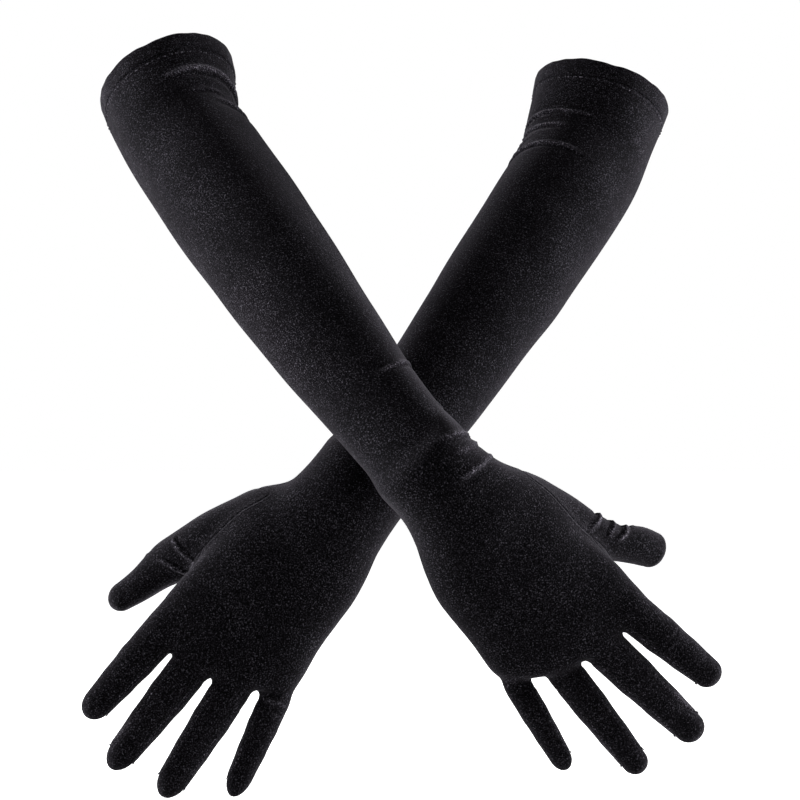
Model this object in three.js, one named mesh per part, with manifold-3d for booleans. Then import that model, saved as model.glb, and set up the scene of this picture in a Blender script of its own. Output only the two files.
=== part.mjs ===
// A pair of elbow-length stretch gloves as they sit on two crossed arms: each glove is cut from a back
// panel and a palm panel, with forked strips between the fingers, a set-in thumb and a turned hem.
// Millimetres, +Z up, backs of the hands towards -Y. The origin is inside the right sleeve, at the crossing.
import * as THREE from "three";
import { mergeVertices } from "three/addons/utils/BufferGeometryUtils.js";
import Module from "manifold-3d";

// ---- Driving dimensions ----
const CLOTH = 1.2; // wall of one layer of cloth
const SEAM = 0.45; // room between two sewn edges
const JOINT_ROOM = 1; // least room between two pieces across a joint
const BOW = 4; // how far the forearm's centre line leaves the straight line from wrist to elbow
const HEM = { height: 10, thick: 2.4, radius: 36.5 };
const THREAD = { radius: 36, wide: 0.7, tall: 0.8, below: 3 };

// Half-width and half-depth of the sleeve at distances from the wrist.
const SLEEVE = [
  { at: 0, wide: 23.5, deep: 19.5 },
  { at: 36, wide: 23.7, deep: 19.5 },
  { at: 76, wide: 26.3, deep: 22.5 },
  { at: 120, wide: 29.3, deep: 26.5 },
  { at: 170, wide: 32.2, deep: 30 },
  { at: 210, wide: 33.4, deep: 32 },
  { at: 246, wide: 33.4, deep: 33 },
  { at: 286, wide: 36.5, deep: 36.5 },
];
// Hand sections at distances from the wrist: the middle's shift to the thumb side, and how square it is.
const HAND = [
  { at: 0, shift: 0, wide: 23.5, deep: 19.5, square: 2 },
  { at: 22, shift: -1, wide: 27, deep: 18.5, square: 2.1 },
  { at: 45, shift: -3, wide: 34.5, deep: 17, square: 2.3 },
  { at: 70, shift: -5.5, wide: 37.5, deep: 15, square: 2.5 },
  { at: 98, shift: -6, wide: 37.8, deep: 11.8, square: 2.6 },
  { at: 118, shift: -6.5, wide: 37, deep: 9.8, square: 2.7 },
];
const PALM_ARCH = 3; // how far the hand's edges lie below its middle
// The fold across the knuckles: its distance along the hand at the middle line, its slant in degrees
// and its depth below the hand's middle plane.
const KNUCKLES = { at: 97, slant: 13.6, side: -6, below: 4 };
const ROOTS = { reach: 117, middle: 10, slope: 0.0075 }; // the curve along which the fingers begin
const FINGERS = {
  index: { from: 117.3, side: 23, long: 50.5, wide: 9.3, tip: 7.2, forks: ["little_side"] },
  middle: { from: 117.8, side: 1.8, long: 61.5, wide: 9.7, tip: 7.4, forks: ["thumb_side", "little_side"] },
  ring: { from: 114.5, side: -18.9, long: 58.5, wide: 8.9, tip: 7, forks: ["thumb_side", "little_side"] },
  little: { from: 105, side: -38.3, long: 45.5, wide: 7.5, tip: 6.2, forks: ["thumb_side"] },
};
const FINGER_DEPTH = 0.92; // a finger's depth over its width
// The strip's half-angle, the shares of the length where it tapers and ends, and its gap to the panels.
const FORK = { angle: 30, tapers: 0.6, ends: 0.86, gap: 0.8 };
// From the wrist along the hand, to the thumb's side and to the back; the hinge is as far from that root.
const THUMB = { from: [46, 24, -9], long: 80, hinge: 50, root: 12.5, tip: 7, deep: 0.95, curl: 0.04 };
const THUMB_CUTS = { root: 3, slant: 7, overlap: 5, hollow: 12 }; // round the hinge, in millimetres

// Room for the joints: degrees each way from rest, shared by the pieces on both sides of a joint.
const WRIST_ROOM = { back: 48, palm: 34 };
const ELBOW_ROOM = { crook: 48, point: 18 };
const KNUCKLE_ROOM = { palm: 62, back: 12 };
const FINGER_ROOM = 7; // set-back of a finger's palm strip at its root, in millimetres

const GLOVES = [
  {
    name: "right",
    thumbTo: 1,
    wrist: [12.6, -12.6, -18],
    elbow: [-109.5, 118.2, 151.2],
    hem: [-125.3, 137, 182.7],
    reach: [137.9, 19, -146.4],
    splay: { index: 4.3, middle: 1.7, ring: -5.2, little: -17 },
    curl: { index: 4, middle: 3, ring: 4, little: 5 },
    thumb: [0.906, 0.344, -0.246],
    bow: [-0.81, 0, -0.59],
  },
  {
    name: "left",
    thumbTo: -1,
    wrist: [-22, 36.9, -23.9],
    elbow: [100.7, 163.4, 147.6],
    hem: [111.6, 177, 183.6],
    reach: [-132.8, 5, -155.2],
    splay: { index: 1.6, middle: -1, ring: -6.2, little: -15.8 },
    curl: { index: 4, middle: 3, ring: 4, little: 6 },
    thumb: [0.9, 0.357, -0.25],
    bow: [0.81, 0, -0.59],
  },
];

const wasm = await Module();
wasm.setup();
const vec = (p) => new THREE.Vector3(...p);
const rad = THREE.MathUtils.degToRad;
const lerp = THREE.MathUtils.lerp;

// ---- Colours: one near-black cloth in a few shades, so that the panels can be told apart ----
const cloth = (shade) => new THREE.MeshStandardMaterial({ color: shade, roughness: 0.75, metalness: 0 });
const MATERIALS = {
  panel: cloth(0x17161a),
  fork: cloth(0x1e1d21),
  hem: cloth(0x1a191d),
  thread: new THREE.MeshStandardMaterial({ color: 0x26252a, roughness: 0.6, metalness: 0 }),
};

// ---- Helpers ----
// Every number of a table of sections at one distance, with straight lines between the sections.
function sectionAt(table, at) {
  const last = table.length - 1;
  const i = Math.max(0, Math.min(last - 1, table.findIndex((row) => row.at > at) - 1));
  const k = at >= table[last].at ? last - 1 : i;
  const t = (at - table[k].at) / (table[k + 1].at - table[k].at);
  const out = {};
  for (const key of Object.keys(table[0])) out[key] = lerp(table[k][key], table[k + 1][key], t);
  return out;
}

// A box bent onto a surface: its length runs along the cloth, its width around, its thickness inwards.
function bentSheet(along, around, place) {
  const g = new THREE.BoxGeometry(1, 1, 1, along, around, 1);
  const p = g.getAttribute("position");
  for (let i = 0; i < p.count; i++) {
    const q = place(p.getX(i) + 0.5, p.getY(i) + 0.5, p.getZ(i) < 0 ? CLOTH : 0);
    p.setXYZ(i, q.x, q.y, q.z);
  }
  return facingOut(g);
}

// The geometry with its faces turned out, whichever hand the mapping has.
function facingOut(g) {
  const p = g.getAttribute("position");
  const index = g.index.array;
  const corner = (k) => new THREE.Vector3().fromBufferAttribute(p, index[k]);
  let volume = 0;
  for (let i = 0; i < index.length; i += 3) {
    volume += corner(i).dot(corner(i + 1).cross(corner(i + 2)));
  }
  if (volume < 0) {
    for (let i = 0; i < index.length; i += 3) [index[i], index[i + 1]] = [index[i + 1], index[i]];
  }
  g.computeVertexNormals();
  return g;
}

function toSolid(g) {
  const bare = new THREE.BufferGeometry().setAttribute("position", g.getAttribute("position"));
  bare.setIndex(g.index);
  const merged = mergeVertices(bare, 1e-3);
  const mesh = { numProp: 3, vertProperties: merged.attributes.position.array };
  mesh.triVerts = new Uint32Array(merged.index.array);
  return new wasm.Manifold(new wasm.Mesh(mesh));
}

function fromSolid(solid) {
  const { vertProperties, triVerts } = solid.getMesh();
  const g = new THREE.BufferGeometry();
  g.setAttribute("position", new THREE.BufferAttribute(vertProperties, 3));
  g.setIndex(new THREE.BufferAttribute(triVerts, 1));
  g.computeVertexNormals();
  return g;
}

// A point at an angle round an oval section; 90 degrees is the back, 0 the thumb side.
function oval(wide, deep, square, angle) {
  const c = Math.cos(angle);
  const s = Math.sin(angle);
  const power = 2 / square;
  return [wide * Math.sign(c) * Math.abs(c) ** power, deep * Math.sign(s) * Math.abs(s) ** power];
}

// ---- One glove's frames ----
function skeleton(glove) {
  const wrist = vec(glove.wrist);
  const elbow = vec(glove.elbow);
  const hem = vec(glove.hem);
  const u = vec(glove.reach).sub(wrist).normalize();
  const n = new THREE.Vector3(0, -1, 0).addScaledVector(u, u.y).normalize();
  const w = new THREE.Vector3().crossVectors(n, u).multiplyScalar(glove.thumbTo);
  const at = (a, b, c) => wrist.clone().addScaledVector(u, a).addScaledVector(w, b).addScaledVector(n, c);
  const middle = wrist.clone().lerp(elbow, 0.5).addScaledVector(vec(glove.bow), 2 * BOW);
  const forearm = new THREE.QuadraticBezierCurve3(wrist, middle, elbow);
  const upper = new THREE.LineCurve3(elbow, hem);
  const down = wrist.clone().sub(elbow).normalize();
  const up = hem.clone().sub(elbow).normalize();
  const crook = up.clone().add(down).normalize();
  return { wrist, elbow, hem, u, n, w, at, forearm, upper, down, up, crook };
}

// ---- Sleeve panels: a half tube on a curve, cut back at both ends to leave the joints room ----
function sleevePanel(bones, curve, fromWrist, half, cut) {
  const length = curve.getLength();
  const edge = SEAM / 2 / 26;
  const angleAt = (y) => lerp(edge, Math.PI - edge, y) + (half === "back" ? 0 : Math.PI);
  const across = (t) => {
    const wide = bones.w.clone().addScaledVector(t, -bones.w.dot(t)).normalize();
    const deep = new THREE.Vector3().crossVectors(t, wide);
    return { wide, deep: deep.multiplyScalar(Math.sign(deep.dot(bones.n))) };
  };
  const ring = (x, angle, depth) => {
    const row = sectionAt(SLEEVE, fromWrist + x);
    const dirs = across(curve.getTangentAt(Math.min(1, Math.max(0, x / length))));
    const [a, b] = oval(row.wide - depth, row.deep - depth, 2, angle);
    return dirs.wide.multiplyScalar(a).addScaledVector(dirs.deep, b);
  };
  return (along) =>
    bentSheet(along, 9, (x, y, depth) => {
      const angle = angleAt(y);
      const start = JOINT_ROOM + cut.start(ring(0, angle, 0));
      const end = length - cut.end(ring(length, angle, 0));
      const s = lerp(start, end, x);
      return curve.getPointAt(Math.min(1, Math.max(0, s / length))).add(ring(s, angle, depth));
    });
}

// How far an edge point is cut back on each side of a joint that already bends at rest.
function cutBack(side, inner, outer) {
  return (offset) => {
    const h = offset.dot(side);
    return h > 0 ? h * Math.tan(rad(inner)) : -h * Math.tan(rad(outer));
  };
}

function bendAtRest(a, b) {
  return THREE.MathUtils.radToDeg(a.angleTo(b));
}

function jointCuts(bones) {
  const wristBend = bendAtRest(bones.u, bones.down);
  const elbowBend = bendAtRest(bones.up.clone().negate(), bones.down);
  const palm = bones.n.clone().negate();
  const wristInner = (wristBend + WRIST_ROOM.palm) / 2;
  const wristOuter = Math.max(0, (WRIST_ROOM.back - wristBend) / 2);
  const elbowInner = (elbowBend + ELBOW_ROOM.crook) / 2;
  const elbowOuter = Math.max(0, (ELBOW_ROOM.point - elbowBend) / 2);
  return {
    wrist: cutBack(palm, wristInner, wristOuter),
    elbow: cutBack(bones.crook, elbowInner, elbowOuter),
    none: () => 0,
  };
}

// ---- Hand panels ----
function handPoint(bones, x, angle, depth) {
  const row = sectionAt(HAND, x);
  const [a, b] = oval(row.wide - depth, row.deep - depth, row.square, angle);
  const arch = -PALM_ARCH * (a / row.wide) ** 2 * Math.min(1, x / 70);
  return bones.at(x, row.shift + a, b + arch);
}

// Where the fingers begin, as a distance along the hand.
function rootLine(side) {
  return ROOTS.reach - ROOTS.slope * (side - ROOTS.middle) ** 2;
}

// The knuckle fold as a distance along the hand, with the cloth cut back by half the room on each side.
function knuckleLine(side, height) {
  const h = -height - KNUCKLES.below;
  const room = h > 0 ? KNUCKLE_ROOM.palm : -KNUCKLE_ROOM.back;
  const cut = JOINT_ROOM / 2 + h * Math.tan(rad(room / 2));
  const line = KNUCKLES.at + (side - KNUCKLES.side) * Math.tan(rad(KNUCKLES.slant));
  return { before: line - cut, after: line + cut };
}

function handLines(cuts) {
  return {
    wrist: { section: 0, line: (side, height, offset) => JOINT_ROOM + cuts.wrist(offset) },
    beforeKnuckles: { section: KNUCKLES.at, line: (side, height) => knuckleLine(side, height).before },
    afterKnuckles: { section: KNUCKLES.at, line: (side, height) => knuckleLine(side, height).after },
    roots: { section: ROOTS.reach, line: rootLine },
  };
}

// A half of the hand between two lines across it. Each line has the section that it crosses, and gives a
// distance along the hand for a point's side and height in that section.
function handPanel(bones, half, along, lines) {
  const edge = SEAM / 2 / 26;
  return bentSheet(along, 14, (x, y, depth) => {
    const angle = lerp(edge, Math.PI - edge, y) + (half === "back" ? 0 : Math.PI);
    const [start, end] = lines.map(({ section, line }) => {
      const q = handPoint(bones, section, angle, 0).sub(bones.wrist);
      return line(q.dot(bones.w), q.dot(bones.n), q);
    });
    return handPoint(bones, lerp(start, end, x), angle, depth);
  });
}

// A closed plug of the hand's outside, grown by a little, for cutting the thumb's root clear of the panels.
function handPlug(bones, grow) {
  const g = new THREE.CylinderGeometry(1, 1, 1, 24, 12);
  const p = g.getAttribute("position");
  for (let i = 0; i < p.count; i++) {
    const x = lerp(0, ROOTS.reach, p.getY(i) + 0.5);
    const flat = Math.hypot(p.getX(i), p.getZ(i)) < 0.5;
    const q = flat ? bones.at(x, 0, 0) : handPoint(bones, x, Math.atan2(p.getZ(i), p.getX(i)), -grow);
    p.setXYZ(i, q.x, q.y, q.z);
  }
  return toSolid(facingOut(g));
}

// ---- Digits: a tapering tube with a domed end on a gently curled centre line ----
function digitShape(bones, digit) {
  const { base, dir, down, long, root, tip, deep } = digit;
  const across = new THREE.Vector3().crossVectors(dir, down).normalize();
  across.multiplyScalar(Math.sign(across.dot(bones.w)) || 1);
  const back = new THREE.Vector3().crossVectors(across, dir).normalize();
  back.multiplyScalar(Math.sign(back.dot(bones.n)));
  const dome = tip * 1.15;
  return (s, angle, depth) => {
    const straight = 1 - dome / long;
    const bend = Math.max(0, (s - straight) / (1 - straight));
    const turn = bend * rad(80);
    const x = s < straight ? s * long : long - dome + (dome - depth) * Math.sin(turn);
    const size = lerp(root, tip, Math.min(1, Math.max(0, s / straight)) ** 1.3) - depth;
    const squeeze = Math.cos(turn);
    const drop = digit.curl * long * (x / long) ** 2;
    return base
      .clone()
      .addScaledVector(dir, x)
      .addScaledVector(back, -drop)
      .addScaledVector(across, size * squeeze * Math.cos(angle))
      .addScaledVector(back, (size + depth - depth / deep) * deep * squeeze * Math.sin(angle));
  };
}

function fingerFrame(bones, glove, name) {
  const f = FINGERS[name];
  const splay = rad(glove.splay[name]);
  const dir = bones.u.clone().multiplyScalar(Math.cos(splay)).addScaledVector(bones.w, Math.sin(splay));
  const low = -PALM_ARCH * (f.side / HAND[5].wide) ** 2;
  const base = bones.at(f.from, f.side, low);
  return {
    base,
    dir,
    down: bones.n.clone().negate(),
    long: f.long,
    root: f.wide,
    tip: f.tip,
    deep: FINGER_DEPTH,
    curl: rad(glove.curl[name]) / 2,
  };
}

// Where the strip between two fingers leaves off, as an angle from the finger's side, at a share s.
function forkAngle(s) {
  const t = Math.max(0, (s - FORK.tapers) / (FORK.ends - FORK.tapers));
  return rad(FORK.angle) * Math.sqrt(Math.max(0, 1 - t * t));
}

function fingerStrip(shape, f, half) {
  const thumbFork = f.forks.includes("thumb_side");
  const littleFork = f.forks.includes("little_side");
  const start = half === "back" ? 0 : FINGER_ROOM / f.long;
  return bentSheet(7, 5, (x, y, depth) => {
    const s = lerp(start, 1, x);
    const gap = SEAM / 2 / Math.max(1.1, f.tip * Math.cos(rad(80) * Math.max(0, (s - 0.85) / 0.15)));
    const low = gap + (thumbFork ? forkAngle(s) : 0);
    const high = Math.PI - gap - (littleFork ? forkAngle(s) : 0);
    const angle = lerp(low, high, y);
    return shape(s, half === "back" ? angle : -angle, depth);
  });
}

function fork(shape, f, side) {
  const start = FINGER_ROOM / f.long;
  const middle = side === "thumb_side" ? 0 : Math.PI;
  return bentSheet(8, 2, (x, y, depth) => {
    const s = lerp(start, FORK.ends - 0.03, x);
    const reach = forkAngle(s) - FORK.gap / f.tip;
    return shape(s, middle + lerp(-reach, reach, y), depth);
  });
}

// ---- Thumb: a tube set into the hand, trimmed where it meets the panels, and divided at its joint ----
function thumbFrame(bones, glove) {
  const [a, b, c] = glove.thumb;
  const dir = new THREE.Vector3().addScaledVector(bones.u, a).addScaledVector(bones.w, b);
  dir.addScaledVector(bones.n, c).normalize();
  const down = new THREE.Vector3().addScaledVector(bones.n, -0.8).addScaledVector(bones.w, -0.6);
  down.addScaledVector(dir, -down.dot(dir)).normalize();
  const base = bones.at(...THUMB.from);
  return { ...THUMB, base, dir, down };
}

// A stretch of the thumb as a solid peg: its outside, or with a depth its hollow.
function thumbPeg(shape, depth, start, end) {
  const g = new THREE.CylinderGeometry(1, 1, 1, 16, 10);
  const p = g.getAttribute("position");
  for (let i = 0; i < p.count; i++) {
    const angle = Math.atan2(p.getZ(i), p.getX(i));
    const s = lerp(start(angle), end, p.getY(i) + 0.5);
    const onAxis = Math.hypot(p.getX(i), p.getZ(i)) < 0.5;
    const rim = shape(s, angle, depth);
    const q = onAxis ? rim.lerp(shape(s, angle + Math.PI, depth), 0.5) : rim;
    p.setXYZ(i, q.x, q.y, q.z);
  }
  return toSolid(facingOut(g));
}

function thumbPieces(bones, frame) {
  const shape = digitShape(bones, frame);
  const share = (x) => x / THUMB.long;
  const flat = (x) => () => share(x);
  const joint = THUMB.hinge - THUMB_CUTS.root;
  const slanted = (angle) => share(joint + THUMB_CUTS.slant * Math.max(0, -Math.sin(angle)));
  const rootEnd = share(joint - SEAM);
  const peg = thumbPeg(shape, 0, flat(0), rootEnd);
  const hollow = thumbPeg(shape, CLOTH, flat(-THUMB_CUTS.overlap), rootEnd + share(THUMB_CUTS.overlap));
  const root = peg.subtract(hollow).subtract(handPlug(bones, THUMB_CUTS.overlap / 8));
  const cap = thumbPeg(shape, 0, slanted, 1);
  const inside = thumbPeg(shape, CLOTH, flat(THUMB.hinge - THUMB_CUTS.hollow), 1);
  return { root, end: cap.subtract(inside), hole: peg };
}

// ---- Hem band and its thread: round rings square to the sleeve ----
function ring(inner, outer, bottom, top) {
  const corners = [[inner, bottom], [outer, bottom], [outer, top], [inner, top], [inner, bottom]];
  const profile = corners.map(([x, y]) => new THREE.Vector2(x, y));
  return new THREE.LatheGeometry(profile, 32);
}

function addRings(bones, add) {
  const turn = new THREE.Quaternion().setFromUnitVectors(new THREE.Vector3(0, 1, 0), bones.up);
  const place = (mesh) => {
    mesh.position.copy(bones.hem);
    mesh.quaternion.copy(turn);
  };
  const { height, thick, radius } = HEM;
  place(add("hem_band", ring(radius - thick, radius, -height, 0), MATERIALS.hem));
  const low = -height - THREAD.below;
  place(add("hem_thread", ring(THREAD.radius, THREAD.radius + THREAD.wide, low, low + THREAD.tall), MATERIALS.thread));
}

// ---- One glove ----
function makeGlove(glove) {
  const group = new THREE.Group();
  const bones = skeleton(glove);
  const cuts = jointCuts(bones);
  const add = (name, geometry, material) => {
    const mesh = new THREE.Mesh(geometry, material);
    mesh.name = `${glove.name}_${name}`;
    group.add(mesh);
    return mesh;
  };
  const wristToElbow = bones.forearm.getLength();
  const hemCut = () => HEM.height + SEAM;
  const lines = handLines(cuts);
  const { root, end, hole } = thumbPieces(bones, thumbFrame(bones, glove));
  for (const half of ["back", "palm"]) {
    const forearm = sleevePanel(bones, bones.forearm, 0, half, { start: cuts.wrist, end: cuts.elbow });
    add(`forearm_${half}_panel`, forearm(9), MATERIALS.panel);
    const upper = sleevePanel(bones, bones.upper, wristToElbow, half, { start: cuts.elbow, end: hemCut });
    add(`upper_${half}_panel`, upper(2), MATERIALS.panel);
    const hand = handPanel(bones, half, 8, [lines.wrist, lines.beforeKnuckles]);
    add(`hand_${half}_panel`, fromSolid(toSolid(hand).subtract(hole)), MATERIALS.panel);
    const row = handPanel(bones, half, 2, [lines.afterKnuckles, lines.roots]);
    add(`knuckle_${half}_panel`, row, MATERIALS.panel);
  }
  addRings(bones, add);
  add("thumb_root", fromSolid(root), MATERIALS.panel);
  add("thumb_end", fromSolid(end), MATERIALS.panel);
  for (const [name, f] of Object.entries(FINGERS)) {
    const shape = digitShape(bones, fingerFrame(bones, glove, name));
    add(`${name}_back_strip`, fingerStrip(shape, f, "back"), MATERIALS.panel);
    add(`${name}_palm_strip`, fingerStrip(shape, f, "palm"), MATERIALS.panel);
    for (const side of f.forks) add(`${name}_fork_${side}`, fork(shape, f, side), MATERIALS.fork);
  }
  return group;
}

const gloves = new THREE.Group();
for (const glove of GLOVES) gloves.add(makeGlove(glove));
export default gloves;
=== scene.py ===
import math

import bpy
import numpy as np
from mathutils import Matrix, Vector
from mathutils.kdtree import KDTree


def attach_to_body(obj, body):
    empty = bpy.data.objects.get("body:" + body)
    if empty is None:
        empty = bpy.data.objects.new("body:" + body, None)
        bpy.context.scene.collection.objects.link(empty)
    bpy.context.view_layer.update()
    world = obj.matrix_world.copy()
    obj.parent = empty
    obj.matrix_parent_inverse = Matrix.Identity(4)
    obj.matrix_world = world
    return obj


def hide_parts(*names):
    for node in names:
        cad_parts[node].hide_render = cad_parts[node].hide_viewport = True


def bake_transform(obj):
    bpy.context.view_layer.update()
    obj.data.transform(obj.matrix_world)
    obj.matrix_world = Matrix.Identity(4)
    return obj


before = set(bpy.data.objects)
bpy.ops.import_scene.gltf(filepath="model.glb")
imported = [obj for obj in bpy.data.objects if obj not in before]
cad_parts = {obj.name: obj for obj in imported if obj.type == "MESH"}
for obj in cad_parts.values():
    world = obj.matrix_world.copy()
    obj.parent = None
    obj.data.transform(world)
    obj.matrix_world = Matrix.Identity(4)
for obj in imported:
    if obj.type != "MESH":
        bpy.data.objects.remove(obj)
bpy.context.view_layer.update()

# ---- Dimensions, in millimetres: the skin is worked out in them and scaled to metres at the end ----
MM = 0.001
STEP = 1.5  # cell of the grid that the skin is traced on
CLOTH = 0.8  # thickness of one layer of cloth
BOW = 4  # how far the forearm's centre line leaves the straight line from wrist to elbow
PALM_ARCH = 3  # how far the hand's edges lie below its middle
INTO_HAND = 30  # the sleeve's centre line runs on into the hand by this much
PAST_HEM = 14  # and past the hem by this much, before the skin is cut off there
HEM_HEIGHT = 10
HEM_THICK = 2
HEM_LINE = -0.55  # the middle of the hem's thickness, out from the sleeve
# The hem's section below its fold: millimetres up from the lower edge and out from the sleeve.
HEM_OUTSIDE = ((0.1, -0.5), (0.15, 0), (0.7, 0.25), (2, 0.35), (5, 0.4))
HEM_INSIDE = ((5, -1.5), (0.5, -1.5))
HEM_RISE = ((0.45, 3, 0.6), (0.25, 8, 0), (0.12, 21, 0))  # waves of its top edge: height, turns, phase
CUFF_RADIUS = 35.5
CREASE = 0.9  # height of a fold whose ridge gets the full painted highlight
SEAM = {"deep": 0.3, "wide": 1.2, "far": 6}  # beyond far a point's distance from a seam isn't kept
SHORT_SEAM = 6  # a line of no more points than this isn't stitched
STITCH = {"long": 1.3, "thick": 0.3, "every": 2.1}
HEM_STITCH = {"long": 2.2, "thick": 0.35, "every": 3.2, "below": 1.6}

# Distance from the wrist up the arm, half-width and half-depth of the sleeve.
SLEEVE = np.array([
    (-INTO_HAND, 23.5, 18.5), (0, 23.5, 19.5), (36, 23.7, 19.5), (76, 26.3, 22.5), (120, 29.3, 26.5),
    (170, 32.2, 30), (210, 33.4, 32), (246, 33.4, 33), (286, 36.3, 36.3), (302, 37, 37),
], float)
# Distance from the wrist along the hand, shift to the thumb side, half-width, half-depth, squareness.
HAND = np.array([
    (-20, 0, 23.5, 19.5, 2), (0, 0, 23.5, 19.5, 2), (22, -1, 27, 18.5, 2.1), (45, -3, 34.5, 17, 2.3),
    (70, -5.5, 37.5, 15, 2.5), (98, -6, 37.8, 11.8, 2.6), (118, -6.5, 37, 9.8, 2.7), (130, -6.5, 36, 9, 2.7),
], float)
ROOTS = {"reach": 117, "middle": 10, "slope": 0.0075}  # the curve along which the fingers begin

FINGERS = {
    "index": {"base": (117.3, 23), "long": 50.5, "root": 9.3, "tip": 7.2, "opens": 119, "forks": (-1,)},
    "middle": {"base": (117.8, 1.8), "long": 61.5, "root": 9.7, "tip": 7.4, "opens": 119, "forks": (1, -1)},
    "ring": {"base": (114.5, -18.9), "long": 58.5, "root": 8.9, "tip": 7, "opens": 117, "forks": (1, -1)},
    "little": {"base": (105, -38.3), "long": 45.5, "root": 7.5, "tip": 6.2, "opens": 109, "forks": (1,)},
}
FINGER_DEPTH = 0.92
FINGER_JOINTS = ((0.36, 0.035), (0.70, 0.025))  # share of the length, how much a finger is wider there
FORK = {"angle": 46, "tapers": 0.6, "ends": 0.86}  # half-angle of the strip between two fingers
THUMB = {"base": (46, 24, -9), "long": 80, "root": 12.5, "tip": 7, "opens": 44.5}
THUMB_DEPTH = 0.95
THUMB_JOINTS = ((0.62, 0.04),)
KNUCKLE_SLANT = 13.6
THUMB_CURL = 0.04
THUMB_BENDS = {"w": -0.6, "n": -0.8}  # the direction that the thumb's end bends to
SLEEVE_CAP = 20  # how far the sleeve's shape runs on past the ends of its centre line
HEEL = -10  # where the hand's shape begins inside the sleeve
# Radii of the soft joins between the parts of the skin.
JOIN = {"wrist": 9, "heel": 8, "roots": 7, "crotch": 1.2, "palm": 4.5, "thumb": 8}
STRAIGHT = ((0, 0, 0), (80, 0, 0))  # a digit whose centre line doesn't sway to the side

# Folds of the cloth on a round part. Three angles round it in degrees, from the thumb's side by way of the
# back, the distances along it there, the fold's half-width and its height, which a groove goes with.
FOLDS = {
    "right": {
        "sleeve": (
            ((-45, 30, 85), (257, 265, 262), 1.8, 1.4), ((-50, 0, 40), (240, 241, 243), 2.2, 1.3),
            ((15, 42, 70), (251, 252, 250), 1.5, 0.5), ((-15, 25, 66), (52, 48, 45), 1.3, 0.9),
            ((-20, 25, 70), (-1, 1, 4), 1.1, 0.8), ((-20, 25, 64), (-6, -5, -3), 1.1, 0.8),
            ((-10, 26, 84), (-16, -13, -8), 1.2, 1), ((-60, -20, 15), (20, 22, 23), 1.5, 0.6),
            ((-150, -90, -30), (2, 4, 2), 1.8, 0.9), ((-150, -90, -30), (-5, -4, -5), 1.6, 0.8),
            ((-130, -60, 0), (250, 254, 252), 2.2, 1),
        ),
        "thumb": (
            ((0, 60, 125), (36, 34, 26), 1.3, 1.3), ((0, 60, 120), (44, 43, 38), 1.2, 0.9),
            ((5, 70, 120), (53, 50, 44), 1.3, 1.2), ((-80, 0, 60), (60, 58, 55), 1.2, 0.5),
        ),
        "little": (((40, 110, 180), (-8, -7, -6), 1.2, 0.5),),
    },
    "left": {
        "sleeve": (
            ((-25, 36, 88), (250, 253, 250), 1.2, 1.1), ((-45, 22, 68), (245, 237, 237), 1.3, 1),
            ((-20, 30, 90), (214, 221, 219), 1.3, 1.2), ((-60, -20, 20), (226, 229, 230), 1.6, 0.8),
            ((-150, -90, -30), (3, 4, 3), 1.8, 0.7), ((-130, -60, 0), (246, 250, 248), 2.2, 1),
        ),
        "thumb": (
            ((60, 110, 165), (37, 36, 31), 1.1, 0.9), ((100, 140, 190), (47, 43, 35), 1.1, 0.9),
            ((-60, 0, 60), (56, 55, 53), 1.2, 0.4),
        ),
        "little": (((10, 80, 160), (-1, 0, -2), 1.3, 0.8), ((30, 100, 170), (5, 6, 4), 1.2, 0.5)),
    },
}
# On every finger: small folds where it bends, as shares of its length and heights.
BEND_FOLDS = ((0.33, 0.22), (0.39, 0.25), (0.69, 0.18))
GROOVE = {"share": 0.55, "off": 1.8}  # depth to its fold's height, half-widths off it
KNUCKLE_BUMP = {"high": 0.7, "wide": 8, "behind": 18, "above": -4}
UNEVEN = {"high": 0.16, "long": 6.5, "longer": 2, "turns": ((1, 0.4, 0.2), (-0.3, 1, 0.5), (0.5, -0.3, 1))}

# Where a piece ends on its neighbour.
FOREARM_SPLIT = 123
HAND_SPLIT = 30
# Distances before and past the elbow and the wrist, from the wrist for the knuckles, from the thumb's base,
# and from a finger's opening and its base: attach works out points at them, which nothing else uses.
OVER = {"elbow": (35, 25), "wrist": (30, 20), "knuckles": (86, 106), "thumb": (45, 57), "finger": (0.5, 12)}

COARSE = 4  # fine cells along a rough one
HALF_DIAGONAL = 0.87  # of a cube with sides of 1
SPARE = 2.5  # what a rough distance may be out by
ROUND_GLOVE = 48  # the space that is traced round the glove
SNAP = 0.2  # a point nearer to a line than this share of its edge moves onto it

# The nap, with heights in metres: its grain, and slow patches that shift it lighter or darker.
GRAIN = {"scale": 1500.0, "bump": 0.55, "high": 0.00035}
PATCHES = {"scale": 45.0, "detail": 3.0, "share": 0.12, "bump": 0.3, "high": 0.0012}
SHADES = ((0.3, 0.15), (0.5, 0.6), (0.58, 1.8), (0.66, 5), (0.74, 12))  # level of the grain, times the shade
TINT = (1.0, 0.93, 1.12)
# Painted highlight on fold ridges: there the base colour is scaled by one plus this times the ridge mask.
RIDGE_HIGHLIGHT_LIFT = 5.0
ROUGH = (0.55, 0.85)
SHEEN = {"rough": 0.4, "tint": (0.93, 0.88, 1.0, 1)}
# A seam's groove: how far it reaches in millimetres, and its height across that reach.
SEAM_BUMP = {"reach": 2.4, "bump": 0.9, "high": 0.0005}
SEAM_CURVE = ((0.0, 0.1), (0.22, 0.55), (0.5, 0.75), (1.0, 0.5))
# Each material's shade, its sheen and whether it shows seams.
LOOKS = {
    "black_cloth": (0.006, 0.12, True), "fork_cloth": (0.011, 0.14, True),
    "hem_cloth": (0.006, 0.12, False), "thread": (0.026, 0.1, False),
}

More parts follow.
